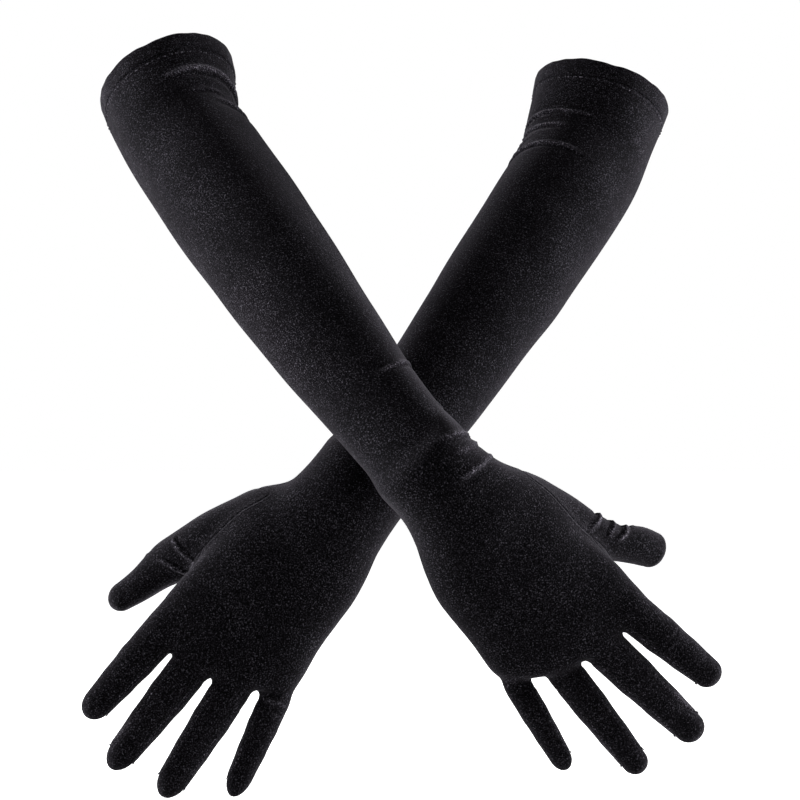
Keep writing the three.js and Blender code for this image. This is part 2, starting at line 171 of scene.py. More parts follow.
# In metres and watts: the camera, and each light's place, size and power. All lights aim at AIM.
CAMERA = {"at": (0, -0.815, 0.014), "lens": 80, "sensor": 36, "near": 0.01}
AIM = (0, 0, 0)
LIGHTS = {
    "left": ((-1.3, 0.22, 0), 0.7, 52), "right": ((1.3, 0.4, 0), 0.7, 54),
    "front": ((-0.1, -0.8, 1.5), 0.5, 11),
}
WORLD_LIGHT = 0.01

# Each glove. reach is a point that the hand aims at, bow the way the forearm bends, thumb the thumb's
# direction along u, w and n. shift moves a digit's root to the thumb side, wider and longer change its size,
# and drawn is its domed end's length to its radius. splay and curl are in degrees. sway (the thumb) and lean
# (the arm; the hand is at negative distances) give distance, shift and extra half-width.
GLOVES = [
    {
        "name": "right", "thumb_to": 1,
        "shift": {"index": -0.9, "middle": -0.8, "ring": -1.3, "little": -2.1},
        "drawn": {"index": 1, "middle": 1, "ring": 1.1, "little": 1.5, "thumb": 0.9},
        "wider": {"index": 0.2, "middle": 0.3, "ring": -0.5, "little": -0.8, "thumb": 0.1},
        "wrist": (12.6, -12.6, -18), "elbow": (-109.5, 118.2, 151.2), "hem": (-125.3, 137, 182.7),
        "reach": (137.9, 19, -146.4), "bow": (-0.81, 0, -0.59), "thumb": (0.906, 0.344, -0.246),
        "splay": {"index": 6.3, "middle": 2.2, "ring": -6.2, "little": -13.5},
        "curl": {"index": 4, "middle": 3, "ring": 4, "little": 5},
        "longer": {"index": 2.5, "middle": 3.8, "ring": 3.4, "little": 1, "thumb": -1},
        "sway": ((0, -1, 0), (20, -2, 0), (36, -3.2, -1), (50, -2.6, -0.7), (63, 1.8, 1.6), (80, 3.5, 1.8)),
        "lean": (
            (-112, 0, 0), (-90, 0, 0), (-70, 0.2, -2.2), (-50, -0.2, 0), (-30, -0.4, 0.6), (-10, 0.5, -2),
            (10, 0.5, -1), (50, 0.4, -0.2), (110, 0.4, 0.5), (150, 0.3, 0.4), (190, -0.7, 0.3), (230, -2, 0),
            (252, -4.2, -1.4), (265, -2.6, 0), (275, -1.2, 0.8), (281, 0.6, 1), (302, 1.5, 1),
        ),
    },
    {
        "name": "left", "thumb_to": -1,
        "shift": {"index": 0, "middle": 0.2, "ring": -0.5, "little": -0.3},
        "drawn": {"index": 1.3, "middle": 1.7, "ring": 1.6, "little": 2, "thumb": 1.15},
        "wider": {"index": 0, "middle": 0, "ring": 0.4, "little": 0, "thumb": 0},
        "wrist": (-22, 36.9, -23.9), "elbow": (100.7, 163.4, 147.6), "hem": (111.6, 177, 183.6),
        "reach": (-132.8, 5, -155.2), "bow": (0.81, 0, -0.59), "thumb": (0.9, 0.357, -0.25),
        "splay": {"index": 1.6, "middle": -1.8, "ring": -7.2, "little": -15.8},
        "curl": {"index": 4, "middle": 3, "ring": 4, "little": 6},
        "longer": {"index": -2.2, "middle": -3.1, "ring": -1.6, "little": 2.1, "thumb": 1.6},
        "sway": ((0, 1.5, 0.5), (20, 2.6, 1.9), (36, 2.9, 1.7), (50, 3.5, 1), (64, 0.4, 0), (80, 0, 0)),
        "lean": (
            (-112, 0, 0), (-90, 1, -1), (-70, 2, -2), (-50, 0, -0.8), (-30, -3.6, -0.4), (-10, -4, -1),
            (10, -3.5, 0), (40, -3, 1), (70, -2.5, 1.5), (90, -2.2, 1), (130, -1, 0.8), (150, -1.2, 0.7),
            (190, -1.2, 0.4), (230, -1.5, 0.3), (255, -0.5, 1.4), (275, -0.7, 1.5), (302, -1, 1.8),
        ),
    },
]


# ---- Small helpers ----
def unit(v):
    v = np.asarray(v, float)
    return v / np.linalg.norm(v)


def units(rows, least=1e-6):
    return rows / np.maximum(np.linalg.norm(rows, axis=1), least)[:, None]


def run_of(points):
    """The distance along a line of points at each of them."""
    return np.concatenate([[0], np.cumsum(np.linalg.norm(np.diff(points, axis=0), axis=1))])


def path_at(at, run, points):
    return np.stack([np.interp(at, run, points[:, k]) for k in range(3)], 1)


def turn_of(x, y):
    return np.degrees(np.arctan2(y, x))


def soft_min(a, b, blend):
    h = np.clip(0.5 + 0.5 * (b - a) / blend, 0, 1)
    return b + (a - b) * h - blend * h * (1 - h)


def soft_max(a, b, blend):
    return -soft_min(-a, -b, blend)


def smooth_step(x):
    x = np.clip(x, 0, 1)
    return x * x * (3 - 2 * x)


def smooth_table(rows, reach):
    """The rows of a table at every millimetre, with straight lines between them rounded off over reach."""
    at = np.arange(rows[0, 0], rows[-1, 0] + 1)
    columns = [np.interp(at, rows[:, 0], rows[:, k]) for k in range(1, rows.shape[1])]
    window = np.hanning(2 * reach + 3)[1:-1]
    padded = [np.pad(c, reach, mode="edge") for c in columns]
    return at[0], np.stack([np.convolve(c, window / window.sum(), "valid") for c in padded], 1)


def look_up(table, at):
    """The table's row at each distance, straight between two rows and held at its ends."""
    first, rows = table
    t = np.clip(at - first, 0, len(rows) - 1.001)
    i = t.astype(int)
    f = (t - i)[:, None]
    return rows[i] * (1 - f) + rows[i + 1] * f


def fold_height(at, angle, folds):
    """How far folds raise the cloth of a round part at each distance along it and angle round it."""
    total = np.zeros(len(at))
    for angles, distances, wide, high in folds:
        middle = angles[1]
        turned = (angle - middle + 180) % 360 - 180
        line = np.polyval(np.polyfit(np.array(angles) - middle, distances, 2), turned)
        reach = smooth_step((turned - angles[0] + middle) / (0.5 * (middle - angles[0])))
        reach = reach * smooth_step((angles[2] - middle - turned) / (0.5 * (angles[2] - middle)))
        off = (at - line) / wide
        groove = GROOVE["share"] * np.exp(-((off + GROOVE["off"]) ** 2))
        total += high * reach * (np.exp(-(off**2)) - groove)
    return total


SLEEVE_TABLE = smooth_table(SLEEVE, 14)
HAND_TABLE = smooth_table(HAND, 8)


# ---- One arm's directions and distances ----
class Arm:
    """u runs along the hand, w to the thumb's side and n out of the back of the hand."""

    def __init__(self, spec):
        self.name, self.spec = spec["name"], spec
        self.wrist, self.elbow, self.hem = (np.array(spec[k], float) for k in ("wrist", "elbow", "hem"))
        self.u = unit(np.array(spec["reach"]) - self.wrist)
        self.n = unit(np.array((0, -1, 0)) + self.u * self.u[1])
        self.w = np.cross(self.n, self.u) * spec["thumb_to"]
        self.up = unit(self.hem - self.elbow)
        self.down = unit(self.wrist - self.elbow)
        self.lean = smooth_table(np.array(spec["lean"], float), 8)
        self.make_path()
        self.folds = FOLDS[self.name]
        self.fingers = {name: self.finger(name, f) for name, f in FINGERS.items()}
        self.thumb = self.make_thumb()
        self.thumb.folds = self.folds["thumb"]
        self.fingers["little"].folds += self.folds["little"]

    def at(self, a, b, c=0):
        return self.wrist + self.u * a + self.w * b + self.n * c

    def local(self, p):
        q = p - self.wrist
        return q @ self.u, q @ self.w, q @ self.n

    def make_path(self):
        middle = (self.wrist + self.elbow) / 2 + np.array(self.spec["bow"]) * 2 * BOW
        t = np.linspace(0, 1, 400)[:, None]
        curve = self.wrist * (1 - t) ** 2 + middle * 2 * t * (1 - t) + self.elbow * t * t
        run = run_of(curve)
        self.length = run[-1]
        self.hem_at = self.length + np.linalg.norm(self.hem - self.elbow)
        ends = np.array([-INTO_HAND, *run, self.hem_at + PAST_HEM])
        points = np.vstack([self.at(INTO_HAND, 0), curve, self.hem + self.up * PAST_HEM])
        first, steps = ends[0], np.arange(ends[0], ends[-1])
        path = self.round_corners(path_at(steps, ends, points), 16)
        tangent = units(np.gradient(path, axis=0))
        wide = units(self.w - tangent * (tangent @ self.w)[:, None])
        deep = np.cross(tangent, wide)
        deep *= np.sign(deep @ self.n)[:, None]
        self.path = (first, np.hstack([path, tangent, wide, deep]))
        self.path_ends = (first, first + len(path) - 1)
        self.chords = [
            (self.at(INTO_HAND, 0), self.wrist, -INTO_HAND, 0),
            (self.wrist, self.elbow, 0, self.length),
            (self.elbow, self.hem + self.up * PAST_HEM, self.length, self.hem_at + PAST_HEM),
        ]

    @staticmethod
    def round_corners(path, reach):
        """The path with its corners averaged over reach to each side; its ends stay."""
        window = np.hanning(2 * reach + 3)[1:-1]
        before = 2 * path[0] - path[reach:0:-1]
        after = 2 * path[-1] - path[-2:-reach - 2:-1]
        long = np.vstack([before, path, after])
        return np.stack([np.convolve(long[:, k], window / window.sum(), "valid") for k in range(3)], 1)

    def finger(self, name, f):
        splay = math.radians(self.spec["splay"][name])
        direction = self.u * math.cos(splay) + self.w * math.sin(splay)
        low = -PALM_ARCH * (f["base"][1] / 37) ** 2
        curl = math.radians(self.spec["curl"][name]) / 2
        base = self.at(f["base"][0], f["base"][1] + self.spec["shift"][name], low)
        size = self.fitted(name, f)
        return Digit(self, base, direction, -self.n, size, FINGER_DEPTH, curl, FINGER_JOINTS, STRAIGHT)

    def make_thumb(self):
        a, b, c = self.spec["thumb"]
        direction = unit(self.u * a + self.w * b + self.n * c)
        down = THUMB_BENDS["n"] * self.n + THUMB_BENDS["w"] * self.w
        base = self.at(*THUMB["base"])
        size = self.fitted("thumb", THUMB)
        sway = self.spec["sway"]
        return Digit(self, base, direction, down, size, THUMB_DEPTH, THUMB_CURL, THUMB_JOINTS, sway)

    def fitted(self, name, size):
        """A digit's sizes on this hand, and how far its end is drawn out."""
        wider, longer = self.spec["wider"][name], self.spec["longer"][name]
        fit = {"root": size["root"] + wider, "tip": size["tip"] + wider, "long": size["long"] + longer}
        return {**size, **fit, "drawn": self.spec["drawn"][name]}

    # Sleeve coordinates of points: distance up the arm, offsets to the thumb side and to the back, and how
    # far a point lies beyond the path's ends.
    def on_sleeve(self, p):
        best, s = np.full(len(p), np.inf), np.zeros(len(p))
        for a, b, start, end in self.chords:
            t = np.clip((p - a) @ (b - a) / ((b - a) @ (b - a)), 0, 1)
            away = ((p - a - t[:, None] * (b - a)) ** 2).sum(1)
            near = away < best
            best[near], s[near] = away[near], (start + t * (end - start))[near]
        for _ in range(3):
            rows = look_up(self.path, s)
            along = ((p - rows[:, :3]) * rows[:, 3:6]).sum(1)
            s = np.clip(s + along, *self.path_ends)
        rows = look_up(self.path, s)
        q = p - rows[:, :3]
        return s, (q * rows[:, 6:9]).sum(1), (q * rows[:, 9:12]).sum(1), (q * rows[:, 3:6]).sum(1)

    def sleeve_distance(self, at):
        s, x, y, beyond = at
        size, lean = look_up(SLEEVE_TABLE, s), look_up(self.lean, s)
        x = x - lean[:, 0]
        wide, deep, cap = size[:, 0] + lean[:, 1], size[:, 1], SLEEVE_CAP
        k0 = np.sqrt((x / wide) ** 2 + (y / deep) ** 2 + (beyond / cap) ** 2)
        k1 = np.sqrt((x / wide**2) ** 2 + (y / deep**2) ** 2 + (beyond / cap**2) ** 2)
        return k0 * (k0 - 1) / np.maximum(k1, 1e-4)

    def hand_height(self, a, b, c):
        row, lean = look_up(HAND_TABLE, a), look_up(self.lean, -a)
        x = b - row[:, 0] - lean[:, 0]
        row[:, 1] += lean[:, 1]
        return x, c + PALM_ARCH * (x / row[:, 1]) ** 2 * np.clip(a / 70, 0, 1), row

    def hand_distance(self, p):
        a, b, c = self.local(p)
        x, y, row = self.hand_height(a, b, c)
        wide, deep, power = row[:, 1], row[:, 2], row[:, 3]
        fx, fy = np.abs(x / wide) + 1e-6, np.abs(y / deep) + 1e-6
        k0 = (fx**power + fy**power) ** (1 / power)
        slope = k0 ** (1 - power) * np.hypot(fx ** (power - 1) / wide, fy ** (power - 1) / deep)
        side = (k0 - 1) / np.maximum(slope, 1 / wide)
        roots = ROOTS["reach"] - ROOTS["slope"] * (b - ROOTS["middle"]) ** 2
        return soft_max(soft_max(side, a - roots, JOIN["roots"]), HEEL - a, JOIN["heel"])

    def distance(self, p):
        at = self.on_sleeve(p)
        d = soft_min(self.sleeve_distance(at), self.hand_distance(p), JOIN["wrist"]) - self.relief(p, at)
        fingers = np.full(len(p), 1e3)
        for digit in self.fingers.values():
            fingers = soft_min(fingers, digit.distance(p), JOIN["crotch"])
        d = soft_min(d, fingers, JOIN["palm"])
        return soft_min(d, self.thumb.distance(p), JOIN["thumb"])

    def relief(self, p, at):
        """Folds of the sleeve, a slow unevenness of all the cloth, and the knuckles."""
        s, x, y, _ = at
        total = fold_height(s, turn_of(x, y), self.folds["sleeve"])
        for k, turn in enumerate(UNEVEN["turns"]):
            long = UNEVEN["long"] + UNEVEN["longer"] * k
            total += UNEVEN["high"] * np.sin(p @ np.array(turn) / long + k)
        a, b, c = self.local(p)
        for digit in self.fingers.values():
            la, lb, _ = self.local(digit.base)
            off = np.hypot(a - la + KNUCKLE_BUMP["behind"], b - lb) / KNUCKLE_BUMP["wide"]
            total += KNUCKLE_BUMP["high"] * np.exp(-(off**2)) * (c > KNUCKLE_BUMP["above"])
        return total

    def ridge_highlight_mask(self, p):
        """How much painted highlight each point gets for lying on the ridge of a fold, from 0 to 1."""
        s, x, y, _ = self.on_sleeve(p)
        total = fold_height(s, turn_of(x, y), self.folds["sleeve"]) / CREASE
        for digit in [*self.fingers.values(), self.thumb]:
            x, z, y = digit.frame(p)
            near = np.hypot(y, z) < 1.5 * digit.root
            total += near * fold_height(x, turn_of(z, y), digit.folds) / CREASE
        return np.clip(total, 0, 1) ** 2

    def gradient(self, p):
        reach = 0.25
        out = np.empty_like(p)
        for k in range(3):
            shift = np.zeros(3)
            shift[k] = reach
            out[:, k] = (self.distance(p + shift) - self.distance(p - shift)) / (2 * reach)
        return out

    def onto_skin(self, p, turns):
        for _ in range(turns):
            g = self.gradient(p)
            step = self.distance(p) / np.maximum((g * g).sum(1), 0.2)
            p = p - g * np.clip(step, -1, 1)[:, None]
        return p

    def normals(self, p):
        return units(self.gradient(p))


class Digit:
    """A finger or thumb: a tapering round bar with a domed end on a gently curled centre line."""

    def __init__(self, arm, base, direction, down, size, depth, curl, joints, sway):
        self.base, self.direction, self.depth, self.curl, self.joints = base, direction, depth, curl, joints
        across = unit(np.cross(direction, down))
        self.across = across * np.sign(across @ arm.w)
        back = unit(np.cross(self.across, direction))
        self.back = back * np.sign(back @ arm.n)
        self.long, self.root, self.tip = size["long"], size["root"], size["tip"]
        self.dome = self.tip * size["drawn"]
        self.straight = self.long - self.dome
        self.opens = size["opens"]
        self.sway = smooth_table(np.array(sway, float), 8)
        bends = [((5, 90, 175), (at * self.long,) * 3, 0.9, high) for at, high in BEND_FOLDS]
        palm = [((185, 270, 355), (at * self.long,) * 3, 1.1, 1.6 * high) for at, high in BEND_FOLDS]
        self.folds = bends + palm

    def frame(self, p):
        q = p - self.base
        x = q @ self.direction
        drop = self.curl * np.maximum(x, 0) ** 2 / self.long
        return x, q @ self.across - look_up(self.sway, x)[:, 0], q @ self.back + drop

    def size_at(self, x):
        t = np.clip(x / self.straight, 0, 1)
        swell = 1 + sum(more * np.exp(-(((t - at) / 0.09) ** 2)) for at, more in self.joints)
        return (self.root + (self.tip - self.root) * t**1.3) * swell

    def distance(self, p):
        x, z, y = self.frame(p)
        wide = self.size_at(x) + look_up(self.sway, x)[:, 1]
        deep = wide * self.depth
        start = 1.9 * self.root
        past, before = np.maximum(x - self.straight, 0) / self.dome, np.minimum(x, 0) / start
        k0 = np.sqrt(past**2 + before**2 + (z / wide) ** 2 + (y / deep) ** 2)
        ends = (past / self.dome) ** 2 + (before / start) ** 2
        k1 = np.sqrt(ends + (z / wide**2) ** 2 + (y / deep**2) ** 2)
        return k0 * (k0 - 1) / np.maximum(k1, 1e-4) - fold_height(x, turn_of(z, y), self.folds)


# ---- Tracing the skin: a grid of distances, then one point for each cell that the skin crosses ----
def sample(arm, low, high):
    """Distances on a grid from low to high, worked out only near the skin, and the grid's first point."""
    count = np.ceil((high - low) / (STEP * COARSE)).astype(int)
    axes = [low[k] + (np.arange(count[k]) + 0.5) * STEP * COARSE for k in range(3)]
    centres = np.stack(np.meshgrid(*axes, indexing="ij"), -1).reshape(-1, 3)
    rough = arm.distance(centres).reshape(count)
    near = np.abs(rough) < STEP * COARSE * HALF_DIAGONAL + SPARE
    values = rough.copy()
    for axis in range(3):
        near, values = np.repeat(near, COARSE, axis), np.repeat(values, COARSE, axis)
    values = values.astype(np.float32)
    index = np.argwhere(near)
    values[near] = arm.distance(low + (index + 0.5) * STEP)
    return values, low + 0.5 * STEP


def at_corner(a, corner, size):
    """The part of a grid that holds one and the same corner of every cell."""
    return a[tuple(slice(c, c + n) for c, n in zip(corner, size))]


def edge_middles(values, cells, corners):
    """For each cell, the mean of the places where the values change sign on its edges, counted in cells."""
    total, hits = np.zeros((len(cells), 3)), np.zeros(len(cells))
    for axis in range(3):
        for c in corners:
            if c[axis]:
                continue
            a = cells + c
            b = a.copy()
            b[:, axis] += 1
            va, vb = values[tuple(a.T)], values[tuple(b.T)]
            cross = (va < 0) != (vb < 0)
            t = np.where(cross, va / np.where(cross, va - vb, 1), 0)
            spot = a.astype(float)
            spot[:, axis] += t
            total += spot * cross[:, None]
            hits += cross
    return total / hits[:, None]


def net_faces(inside, number):
    """A face across every grid edge with one end inside, from the numbers of the four cells round it."""
    size = np.array(number.shape)
    quads = []
    for axis in range(3):
        e1, e2 = np.eye(3, dtype=int)[(axis + 1) % 3], np.eye(3, dtype=int)[(axis + 2) % 3]
        first = inside[tuple(slice(0, -1) if k == axis else slice(None) for k in range(3))]
        second = inside[tuple(slice(1, None) if k == axis else slice(None) for k in range(3))]
        edge = np.argwhere(first != second)
        ok = (edge @ e1 > 0) & (edge @ e2 > 0) & (edge @ e1 < size @ e1) & (edge @ e2 < size @ e2)
        edge = edge[ok]
        ring = [number[tuple((edge - s).T)] for s in (0 * e1, e1, e1 + e2, e2)]
        quad = np.stack(ring, 1)
        flip = first[tuple(edge.T)]
        quad[~flip] = quad[~flip][:, ::-1]
        quads.append(quad)
    return np.vstack(quads)


def surface_net(values, origin):
    """Points and four-sided faces of the surface where the values change sign."""
    inside = values < 0
    size = np.array(values.shape) - 1
    corners = [(i, j, k) for i in (0, 1) for j in (0, 1) for k in (0, 1)]
    count = sum(at_corner(inside, c, size).astype(np.int8) for c in corners)
    cells = np.argwhere((count > 0) & (count < 8))
    number = np.full(size, -1, np.int32)
    number[tuple(cells.T)] = np.arange(len(cells))
    return origin + edge_middles(values, cells, corners) * STEP, net_faces(inside, number)


def triangles_of(points, quads):
    """Each face as two triangles, split across its shorter diagonal."""
    a, b, c, d = quads.T
    one = ((points[a] - points[c]) ** 2).sum(1) < ((points[b] - points[d]) ** 2).sum(1)
    first = np.where(one[:, None], np.stack([a, b, c], 1), np.stack([a, b, d], 1))
    second = np.where(one[:, None], np.stack([a, c, d], 1), np.stack([b, c, d], 1))
    return np.vstack([first, second])


# ---- Cutting the skin along a line where a field changes sign ----
def sides_of(triangles):
    """The two corners of each triangle's three sides."""
    return np.stack([triangles, np.roll(triangles, -1, 1)], 2).reshape(-1, 2)


def edges_of(triangles):
    """Unique edges, and for each triangle the numbers of its edges after corner 0, 1 and 2."""
    pairs = sides_of(triangles)
    edges, back = np.unique(np.sort(pairs, 1), axis=0, return_inverse=True)
    return edges, back.reshape(-1, 3)


def snapped(points, triangles, v):
    """The points, with those close to the line moved onto it along an edge, and the field there."""
    edges, _ = edges_of(triangles)
    crossing = edges[(v[edges[:, 0]] > 0) != (v[edges[:, 1]] > 0)]
    a, b = crossing.T
    t = v[a] / (v[a] - v[b])
    moved = np.concatenate([a[t < SNAP], b[t > 1 - SNAP]])
    partner = np.concatenate([b[t < SNAP], a[t > 1 - SNAP]])
    share = np.concatenate([t[t < SNAP], 1 - t[t > 1 - SNAP]])
    order = np.argsort(-share)
    moved, partner, share = moved[order], partner[order], share[order]
    fresh, v = points.copy(), v.copy()
    fresh[moved] = points[moved] + (points[partner] - points[moved]) * share[:, None]
    v[moved] = 0
    return fresh, v


def split_at(triangles, mid):
    """The triangles divided at the new point of each of their edges; mid is -1 where an edge has none."""
    hits = (mid >= 0).sum(1)
    out = [triangles[hits == 0]]
    for k in range(3):
        turn = [k, (k + 1) % 3, (k + 2) % 3]
        tri, m = triangles[:, turn], mid[:, turn]
        one = (hits == 1) & (m[:, 0] >= 0)
        p, q, r, x = *tri[one].T, m[one, 0]
        out += [np.stack([p, x, r], 1), np.stack([x, q, r], 1)]
        two = (hits == 2) & (m[:, 0] >= 0) & (m[:, 2] >= 0)
        p, q, r, x, y = *tri[two].T, m[two, 0], m[two, 2]
        out += [np.stack([p, x, y], 1), np.stack([x, q, r], 1), np.stack([x, r, y], 1)]
    return np.vstack(out)


def cut(arm, points, triangles, field):
    """The skin with its triangles split where field changes sign; points close to the line move onto it."""
    points, v = snapped(points, triangles, field(points))
    edges, of_triangle = edges_of(triangles)
    a, b = edges.T
    split = np.flatnonzero(v[a] * v[b] < 0)
    a, b = a[split], b[split]
    t = (v[a] / (v[a] - v[b]))[:, None]
    spots = points[a] * (1 - t) + points[b] * t
    slope = (v[b] - v[a])[:, None]
    t = np.clip(t - field(spots)[:, None] / slope, 0.05, 0.95)
    spots = arm.onto_skin(points[a] * (1 - t) + points[b] * t, 1)
    new = np.full(len(edges), -1)
    new[split] = len(points) + np.arange(len(split))
    return np.vstack([points, spots]), split_at(triangles, new[of_triangle])


# ---- The lines along which the skin is divided ----
def nearest_finger(arm, p):
    away = np.stack([d.distance(p) for d in arm.fingers.values()])
    return np.argmin(away, 0), away.min(0)


def finger_start(arm):
    opens = np.array([d.opens for d in arm.fingers.values()])

    def field(p):
        which, away = nearest_finger(arm, p)
        return np.minimum(arm.local(p)[0] - opens[which], arm.thumb.distance(p) - away)
    return field


def thumb_side(arm, p):
    rest = np.minimum(arm.hand_distance(p), nearest_finger(arm, p)[1])
    return rest - arm.thumb.distance(p)


def thumb_start(arm):
    return lambda p: np.minimum(arm.thumb.frame(p)[0] - arm.thumb.opens, thumb_side(arm, p))


def thumb_seam(arm):
    return lambda p: np.minimum(arm.local(p)[0] - HAND_SPLIT - 2, thumb_side(arm, p))


def height(arm):
    """Above or below the line between the back and the palm, on the sleeve, the hand and the fingers."""
    def field(p):
        a, b, c = arm.local(p)
        on_hand = arm.hand_height(a, b, c)[1]
        on_arm = arm.on_sleeve(p)[2]
        which, _ = nearest_finger(arm, p)
        lines = np.stack([d.frame(p)[2] for d in arm.fingers.values()])
        on_finger = lines[which, np.arange(len(p))]
        from_arm = smooth_step((a + 5) / 25)  # from 5 mm before the wrist to 20 past it
        opens = np.array([d.opens for d in arm.fingers.values()])[which]
        from_hand = smooth_step((a - opens + 12) / 12)  # over the 12 mm before a finger opens
        mixed = on_arm * (1 - from_arm) + on_hand * from_arm
        return mixed * (1 - from_hand) + on_finger * from_hand
    return field


def fork_line(arm, side):
    """Inside or outside the strip on one side of the fingers; a finger without one there is left whole."""
    names = list(arm.fingers)

    def field(p):
        which, _ = nearest_finger(arm, p)
        out = np.full(len(p), -1.0)
        for k, name in enumerate(names):
            if side not in FINGERS[name]["forks"]:
                continue
            digit, mine = arm.fingers[name], which == k
            x, z, y = digit.frame(p[mine])
            angle = turn_of(z * side, np.abs(y) / digit.depth)
            t = np.maximum(0, (x / digit.long - FORK["tapers"]) / (FORK["ends"] - FORK["tapers"]))
            reach = FORK["angle"] * np.sqrt(np.maximum(0, 1 - t * t)) - 40 * np.maximum(0, t - 1)
            out[mine] = reach - angle
        return out
    return field


def trace(arm):
    spots = np.array([arm.hem + arm.up * PAST_HEM, arm.elbow, arm.wrist, arm.at(90, 0), arm.at(180, 0)])
    low, high = spots.min(0) - ROUND_GLOVE, spots.max(0) + ROUND_GLOVE
    points, quads = surface_net(*sample(arm, low, high))
    points = arm.onto_skin(points, 3)
    triangles = triangles_of(points, quads)
    lines = [
        lambda p: (p - arm.hem) @ arm.up + HEM_HEIGHT,
        lambda p: arm.on_sleeve(p)[0] - FOREARM_SPLIT,
        lambda p: arm.local(p)[0] - HAND_SPLIT,
        finger_start(arm),
        thumb_start(arm),
        thumb_seam(arm),
        height(arm),
        fork_line(arm, 1),
        fork_line(arm, -1),
    ]
    for line in lines:
        points, triangles = cut(arm, points, triangles, line)
    return points, triangles


# ---- Naming each triangle's piece ----
def label(arm, points, triangles):
    """The piece that each triangle belongs to; the skin beyond the hem has none."""
    p = points[triangles].mean(1)
    a = arm.local(p)[0]
    s = arm.on_sleeve(p)[0]
    half = np.where(height(arm)(p) > 0, "back", "palm")
    out = np.where(s > FOREARM_SPLIT, "upper_", np.where(a < HAND_SPLIT, "forearm_", "hand_"))
    out = np.char.add(np.char.add(out.astype("U20"), half), "_panel")
    fingers = finger_start(arm)(p) > 0
    which, _ = nearest_finger(arm, p)
    sides = {1: fork_line(arm, 1)(p) > 0, -1: fork_line(arm, -1)(p) > 0}
    for k, name in enumerate(arm.fingers):
        mine = fingers & (which == k)
        out[mine] = np.char.add(f"{name}_", np.char.add(half[mine], "_strip"))
        for side, words in ((1, "thumb_side"), (-1, "little_side")):
            out[mine & sides[side]] = f"{name}_fork_{words}"
    out[thumb_seam(arm)(p) > 0] = "thumb_root"
    out[thumb_start(arm)(p) > 0] = "thumb_end"
    out[(p - arm.hem) @ arm.up > -HEM_HEIGHT] = ""
    return out


# ---- Materials ----
def plug(tree, made, inputs):
    """A node's inputs set or, given a socket, linked to it."""
    for name, value in inputs.items():
        if isinstance(value, bpy.types.NodeSocket):
            tree.links.new(value, made.inputs[name])
        else:
            made.inputs[name].default_value = value


def node(tree, kind, inputs=(), **settings):
    made = tree.nodes.new(f"ShaderNode{kind}")
    for name, value in settings.items():
        setattr(made, name, value)
    plug(tree, made, dict(inputs))
    return made


def ramp(tree, value, stops):
    made = node(tree, "ValToRGB", {"Fac": value})
    elements = made.color_ramp.elements
    while len(elements) < len(stops):
        elements.new(0.5)
    for element, (at, colour) in zip(elements, stops):
        element.position, element.color = at, (*colour, 1)
    return made.outputs["Color"]


def noise(tree, place, scale, detail=2.0):
    made = node(tree, "TexNoise", {"Vector": place, "Scale": scale, "Detail": detail})
    return made.outputs["Fac"]


def maths(tree, operation, a, b):
    made = node(tree, "Math", {0: a, 1: b}, operation=operation)
    return made.outputs[0]


def seam_groove(tree):
    """A height for bump: a narrow groove on the seam with a low ridge of turned cloth on each side."""
    away = node(tree, "Attribute", attribute_name="seam").outputs["Fac"]
    made = node(tree, "MapRange", {"Value": away, "From Min": 0.0, "From Max": SEAM_BUMP["reach"]})
    return ramp(tree, made.outputs["Result"], [(at, (high,) * 3) for at, high in SEAM_CURVE])


def bump(tree, height, look, under=None):
    inputs = {"Height": height, "Strength": look["bump"], "Distance": look["high"]}
    if under:
        inputs["Normal"] = under
    return node(tree, "Bump", inputs).outputs["Normal"]


def nap_colour(tree, grain, patches, shade):
    """The base colour: grains from dark to pale, brightened by a painted highlight where the cloth lies on
    the ridge of a fold.
    """
    shift = maths(tree, "MULTIPLY", maths(tree, "SUBTRACT", patches, 0.5), PATCHES["share"])
    mixed = maths(tree, "ADD", grain, shift)
    tint = np.array(TINT) * shade
    stops = [(at, tuple(much * tint)) for at, much in SHADES]
    # painted highlight: the ridge mask that brightens the base colour on folds
    crease = node(tree, "Attribute", attribute_name="crease").outputs["Fac"]
    lift = maths(tree, "ADD", maths(tree, "MULTIPLY", crease, RIDGE_HIGHLIGHT_LIFT), 1.0)
    inputs = {0: ramp(tree, mixed, stops), "Scale": lift}
    return node(tree, "VectorMath", inputs, operation="SCALE").outputs["Vector"]


def black_cloth(name, shade, sheen, seams):
    """Fine stretch velvet: nearly black, its nap catching the light in grains where it's seen aslant."""
    material = bpy.data.materials.new(name)
    material.use_nodes = True
    tree = material.node_tree
    shader = tree.nodes["Principled BSDF"]
    place = node(tree, "TexCoord").outputs["Object"]
    grain = noise(tree, place, GRAIN["scale"])
    patches = noise(tree, place, PATCHES["scale"], PATCHES["detail"])
    rough = node(tree, "MapRange", {"Value": grain, "To Min": ROUGH[0], "To Max": ROUGH[1]})
    normal = bump(tree, patches, PATCHES, bump(tree, grain, GRAIN))
    if seams:
        normal = bump(tree, seam_groove(tree), SEAM_BUMP, normal)
    plug(tree, shader, {
        "Base Color": nap_colour(tree, grain, patches, shade), "Roughness": rough.outputs["Result"],
        "Normal": normal, "Specular IOR Level": 0, "Sheen Weight": sheen,
        "Sheen Roughness": SHEEN["rough"], "Sheen Tint": SHEEN["tint"],
    })
    return material


# ---- Pieces ----
def placed(name, data):
    made = bpy.data.objects.new(name, data)
    bpy.context.scene.collection.objects.link(made)
    return made


def object_of(name, corners, faces, material):
    """A smooth-shaded object from points in millimetres."""
    mesh = bpy.data.meshes.new(name)
    mesh.from_pydata(np.asarray(corners) * MM, [], faces)
    mesh.shade_smooth()
    mesh.materials.append(material)
    return placed(name, mesh)


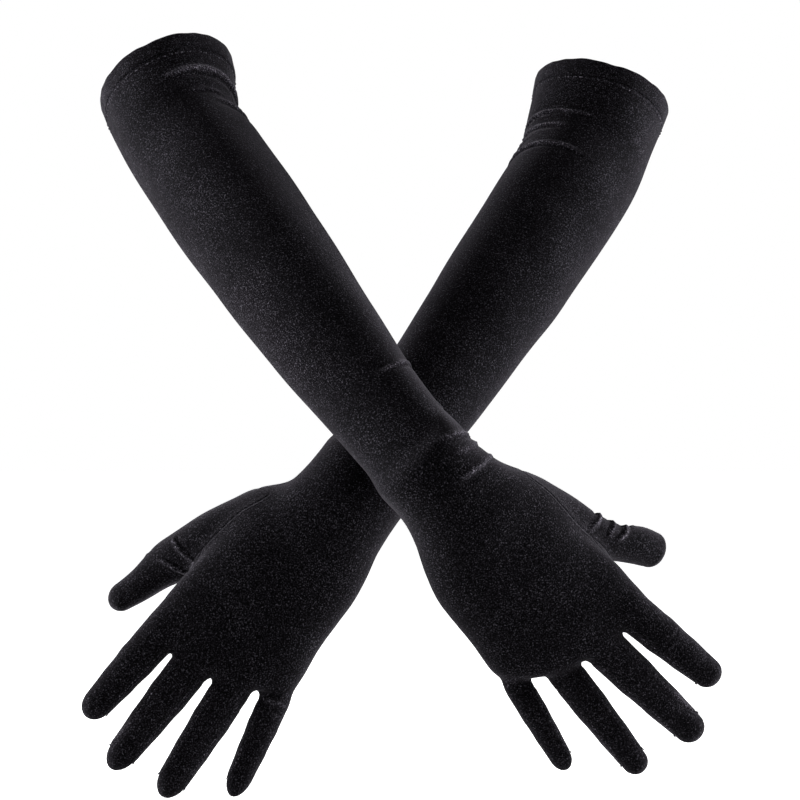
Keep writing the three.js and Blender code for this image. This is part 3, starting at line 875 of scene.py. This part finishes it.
def cloth_piece(name, points, normals, triangles, marks, material):
    """A closed piece of cloth: its outside, its inside and the rim between them, with the marks that its
    material reads at each point."""
    used, corner = np.unique(triangles, return_inverse=True)
    tri = corner.reshape(-1, 3)
    outer, facing = points[used], normals[used]
    count = len(used)
    pairs = sides_of(tri)
    key = pairs[:, 0].astype(np.int64) * count + pairs[:, 1]
    twin = pairs[:, 1].astype(np.int64) * count + pairs[:, 0]
    a, b = pairs[~np.isin(key, twin)].T
    rim = np.vstack([np.stack([b, a, a + count], 1), np.stack([b, a + count, b + count], 1)])
    faces = np.vstack([tri, tri[:, ::-1] + count, rim])
    corners = np.vstack([outer, outer - facing * CLOTH])
    piece = object_of(name, corners, faces, material)
    first, second, third = (corners[rim[:, k]] * MM for k in range(3))
    flat = units(np.cross(second - first, third - first), 1e-12)
    outside, inside = facing[tri].reshape(-1, 3), -facing[tri[:, ::-1]].reshape(-1, 3)
    piece.data.normals_split_custom_set(np.vstack([outside, inside, np.repeat(flat, 3, 0)]))
    for mark, values in marks.items():
        layer = piece.data.attributes.new(mark, "FLOAT", "POINT")
        layer.data.foreach_set("value", np.tile(values[used], 2).astype(np.float32))
    return piece


def is_seam(a, b):
    """True between two pieces that are sewn together; False where one cloth is only divided."""
    words = {"back": "palm", "palm": "back"}
    halves = [next((w for w in words if f"_{w}_" in x), None) for x in (a, b)]
    crosses = None not in halves and halves[0] != halves[1]
    thumb = "thumb_root" in (a, b) and "thumb_end" not in (a, b)
    return crosses or thumb or ("fork" in a) != ("fork" in b)


def from_seams(points, triangles, labels):
    """Each point's distance from the nearest seam, up to the far end of SEAM."""
    on_seam = sorted({p for chain in seam_lines(triangles, labels, is_seam) for p in chain})
    tree = KDTree(len(on_seam))
    for i in on_seam:
        tree.insert(points[i], i)
    tree.balance()
    return np.array([min(SEAM["far"], tree.find(p)[2]) for p in points])


def on_cuff(arm, at, angle, out):
    """A point of the sleeve at a distance up the arm and an angle round it, moved out by some millimetres."""
    row, size, lean = look_up(arm.path, at), look_up(SLEEVE_TABLE, at), look_up(arm.lean, at)
    x = (size[:, 0] + lean[:, 1] + out) * np.cos(angle) + lean[:, 0]
    y = (size[:, 1] + out) * np.sin(angle)
    return row[:, :3] + row[:, 6:9] * x[:, None] + row[:, 9:12] * y[:, None]


def waves(angle, rows):
    """The sum of waves round the arm, each with its height, number of turns and phase."""
    return sum(high * np.sin(turns * angle + phase) for high, turns, phase in rows)


def hem_band(arm, material):
    """The turned edge: a doubled layer with a rounded fold on top, a little uneven all round."""
    around, half = 220, HEM_THICK / 2
    turns = np.linspace(0, math.pi, 9)
    top = [(arm.hem_at - half + half * math.sin(t), HEM_LINE + half * math.cos(t)) for t in turns]
    low = arm.hem_at - HEM_HEIGHT
    outside = [(low + up, out) for up, out in HEM_OUTSIDE]
    inside = [(low + up, out) for up, out in HEM_INSIDE]
    profile = np.array(outside + top + inside)
    angle = np.arange(around) / around * 2 * math.pi
    points = []
    for at, out in profile:
        share = (at - low) / HEM_HEIGHT
        rise = share * waves(angle, HEM_RISE)
        puff = waves(angle, ((0.12, 11, 2 * share), (0.06, 29, 1)))
        points.append(on_cuff(arm, at + rise, angle, out + puff))
    rings = len(profile)
    faces = []
    for i in range(rings):
        a, b = i * around, (i + 1) % rings * around
        faces += [(a + j, b + j, b + (j + 1) % around, a + (j + 1) % around) for j in range(around)]
    if arm.spec["thumb_to"] > 0:
        faces = [face[::-1] for face in faces]
    return object_of(f"{arm.name}_hem", np.vstack(points), faces, material)


def stitch_row(name, places, along, out, size, material):
    """One short rounded thread at each place, lying along the seam and a little sunk in the cloth."""
    rings, around = ((-0.5, 0.45), (-0.36, 0.9), (0, 1.1), (0.36, 0.9), (0.5, 0.45)), 6
    points, faces = [], []
    for place, direction, normal in zip(places, along, out):
        side = np.cross(direction, normal)
        start = len(points)
        for at, wide in rings:
            lift = 0.35 - 1.6 * at * at
            for k in range(around):
                turn = 2 * math.pi * k / around
                r = size["thick"] * wide
                spot = place + direction * at * size["long"] + side * r * math.cos(turn)
                points.append(spot + normal * (r * math.sin(turn) + lift * size["thick"]))
        for i in range(len(rings) - 1):
            for k in range(around):
                a, b = start + i * around, start + (i + 1) * around
                faces.append((a + k, a + (k + 1) % around, b + (k + 1) % around, b + k))
        faces.append(tuple(start + k for k in reversed(range(around))))
        faces.append(tuple(start + (len(rings) - 1) * around + k for k in range(around)))
    return object_of(name, points, faces, material)


def hem_stitches(arm, material):
    at = arm.hem_at - HEM_HEIGHT - HEM_STITCH["below"]
    count = int(2 * math.pi * CUFF_RADIUS / HEM_STITCH["every"])
    angle = np.arange(count) / count * 2 * math.pi
    place = on_cuff(arm, np.full(count, at), angle, 0.0)
    a_little = 0.02
    ahead = on_cuff(arm, np.full(count, at), angle + a_little, 0.0) - place
    place = arm.onto_skin(place, 3)
    out = arm.normals(place)
    return stitch_row(f"{arm.name}_hem_stitches", place, units(ahead), out, HEM_STITCH, material)


def seam_lines(triangles, labels, wanted):
    """Chains of points along the edges between two pieces for which wanted is true."""
    pairs = sides_of(triangles)
    owner = np.repeat(labels, 3)
    order = np.lexsort(np.sort(pairs, 1).T)
    key, who, pairs = np.sort(pairs, 1)[order], owner[order], pairs[order]
    same = (key[1:] == key[:-1]).all(1) & (who[1:] != who[:-1])
    links = {}
    for i in np.flatnonzero(same):
        if wanted(who[i], who[i + 1]):
            a, b = key[i]
            links.setdefault(a, []).append(b)
            links.setdefault(b, []).append(a)
    chains, left = [], set(links)
    while left:
        start = min(left, key=lambda p: (len(links[p]) != 1, p))
        chain = [start]
        left.discard(start)
        while True:
            ahead = [p for p in links[chain[-1]] if p in left]
            if not ahead:
                break
            chain.append(ahead[0])
            left.discard(ahead[0])
        chains.append(chain)
    return chains


def spaced(points, chain, every):
    """Places along a chain of points at equal distances, with the direction of the chain there."""
    p = points[chain]
    run = run_of(p)
    at = np.arange(every, run[-1] - every / 2, every)
    near = 0.8
    return path_at(at, run, p), units(path_at(at + near, run, p) - path_at(at - near, run, p))


def finger_stitches(arm, name, points, triangles, labels, material):
    """The stitches that hold the strips at a finger's sides."""
    def fork(a, b):
        return a.startswith(name) and b.startswith(name) and ("fork" in a) != ("fork" in b)

    places, along = [], []
    for chain in seam_lines(triangles, labels, fork):
        if len(chain) > SHORT_SEAM:
            place, direction = spaced(points, chain, STITCH["every"])
            places.append(place)
            along.append(direction)
    places, along = np.vstack(places), np.vstack(along)
    out = arm.normals(places)
    return stitch_row(f"{arm.name}_{name}_stitches", places, along, out, STITCH, material)


# ---- Placing the pieces: the thumb's root rides on the hand's body, the others have their transforms baked ----
def in_metres(p):
    return tuple(np.asarray(p) * MM)


def attach(arm, short, piece):
    side = arm.name
    if short.startswith(("upper", "hem")):
        ends = arm.elbow + arm.down * OVER["elbow"][0], arm.elbow + arm.up * OVER["elbow"][1]
        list(map(in_metres, ends))
        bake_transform(piece)
    elif short.startswith("forearm"):
        ends = arm.wrist - arm.down * OVER["wrist"][0], arm.wrist + arm.u * OVER["wrist"][1]
        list(map(in_metres, ends))
        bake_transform(piece)
    elif short.startswith("hand"):
        slant = math.radians(KNUCKLE_SLANT)
        across = arm.u * math.cos(slant) - arm.w * math.sin(slant)
        ends = [arm.wrist + across * far for far in OVER["knuckles"]]
        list(map(in_metres, ends))
        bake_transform(piece)
    elif short == "thumb_root":
        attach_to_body(piece, f"{side}_hand")
    elif short == "thumb_end":
        ends = [arm.thumb.base + arm.thumb.direction * far for far in OVER["thumb"]]
        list(map(in_metres, ends))
        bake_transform(piece)
    else:
        name = short.split("_")[0]
        digit = arm.fingers[name]
        past_opening, past_base = OVER["finger"]
        opens = digit.opens - FINGERS[name]["base"][0] + past_opening
        ends = [digit.base + digit.direction * far for far in (opens, past_base)]
        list(map(in_metres, ends))
        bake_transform(piece)


def stands_for(side, short):
    nodes = [short]
    if short.startswith("hand"):
        nodes.append(short.replace("hand", "knuckle"))
    return [f"{side}_{node}" for node in nodes]


def make_cloth(arm, points, triangles, labels, materials):
    """Every piece of cloth by its short name, sunk a little along its seams."""
    normals = arm.normals(points)
    seam = from_seams(points, triangles, labels)
    # The second mark is the ridge mask for the painted highlight on folds.
    marks = {"seam": seam, "crease": arm.ridge_highlight_mask(points)}
    sunk = points - normals * (SEAM["deep"] * np.exp(-((seam / SEAM["wide"]) ** 2)))[:, None]
    pieces = {}
    for short in np.unique(labels):
        if not short:
            continue
        slot = "fork_cloth" if "fork" in short else "black_cloth"
        name = f"{arm.name}_{short}_cloth"
        piece = cloth_piece(name, sunk, normals, triangles[labels == short], marks, materials[slot])
        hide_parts(*stands_for(arm.name, short))
        attach(arm, short, piece)
        pieces[short] = piece
    return pieces


def make_trim(arm, points, triangles, labels, materials):
    """The stitches and the hem, each listed by the piece of cloth that it is sewn to."""
    sewn = {}
    for name in FINGERS:
        piece = finger_stitches(arm, name, points, triangles, labels, materials["thread"])
        attach(arm, name, piece)
        sewn[f"{name}_back_strip"] = [piece]
    sewn["upper_back_panel"] = []
    for piece, short, slot in (
        (hem_band(arm, materials["hem_cloth"]), "hem_band", "hem_cloth"),
        (hem_stitches(arm, materials["thread"]), "hem_thread", "thread"),
    ):
        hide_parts(f"{arm.name}_{short}")
        attach(arm, short, piece)
        sewn["upper_back_panel"].append(piece)
    return sewn


def make_glove(spec, materials):
    arm = Arm(spec)
    points, triangles = trace(arm)
    labels = label(arm, points, triangles)
    pieces = make_cloth(arm, points, triangles, labels, materials)
    sewn = make_trim(arm, points, triangles, labels, materials)


# ---- Camera, floor and light ----
def make_camera():
    camera = placed("camera", bpy.data.cameras.new("camera"))
    camera.location = CAMERA["at"]
    camera.rotation_euler = (math.pi / 2, 0, 0)
    camera.data.lens = CAMERA["lens"]
    camera.data.sensor_width = CAMERA["sensor"]
    camera.data.clip_start = CAMERA["near"]
    bpy.context.scene.camera = camera


def seen_white(tree, seen, lit):
    """The studio's white as the camera sees it, and a dimmer one as the light that it gives."""
    path = node(tree, "LightPath").outputs["Is Camera Ray"]
    return node(tree, "MapRange", {"Value": path, "To Min": lit, "To Max": seen}).outputs["Result"]


def make_stage():
    mesh = bpy.data.meshes.new("floor")
    half, low = 6, -0.26
    corners = [(-half, -half, low), (half, -half, low), (half, half, low), (-half, half, low)]
    mesh.from_pydata(corners, [], [(0, 1, 2, 3)])
    material = bpy.data.materials.new("floor")
    material.use_nodes = True
    tree = material.node_tree
    plug(tree, tree.nodes["Principled BSDF"], {
        "Base Color": (0.9, 0.9, 0.9, 1), "Roughness": 0.9, "Emission Color": (1, 1, 1, 1),
        "Emission Strength": seen_white(tree, 1.0, 0.0),
    })
    mesh.materials.append(material)
    placed("floor", mesh)


def add_light(name, place, size, power):
    lamp = bpy.data.lights.new(name, "AREA")
    lamp.energy, lamp.size = power, size
    light = placed(name, lamp)
    direction = unit(np.array(AIM) - np.array(place))
    light.location = place
    light.rotation_euler = Vector(direction).to_track_quat("-Z", "Y").to_euler()


def make_light():
    world = bpy.data.worlds.new("studio")
    world.use_nodes = True
    tree = world.node_tree
    white = seen_white(tree, 1.0, WORLD_LIGHT)
    plug(tree, tree.nodes["Background"], {"Color": (1, 1, 1, 1), "Strength": white})
    bpy.context.scene.world = world
    bpy.context.scene.view_settings.view_transform = "Standard"
    for name, light in LIGHTS.items():
        add_light(name, *light)


make_camera()
make_stage()
make_light()
MATERIALS = {name: black_cloth(name, *look) for name, look in LOOKS.items()}
for spec in GLOVES:
    make_glove(spec, MATERIALS)
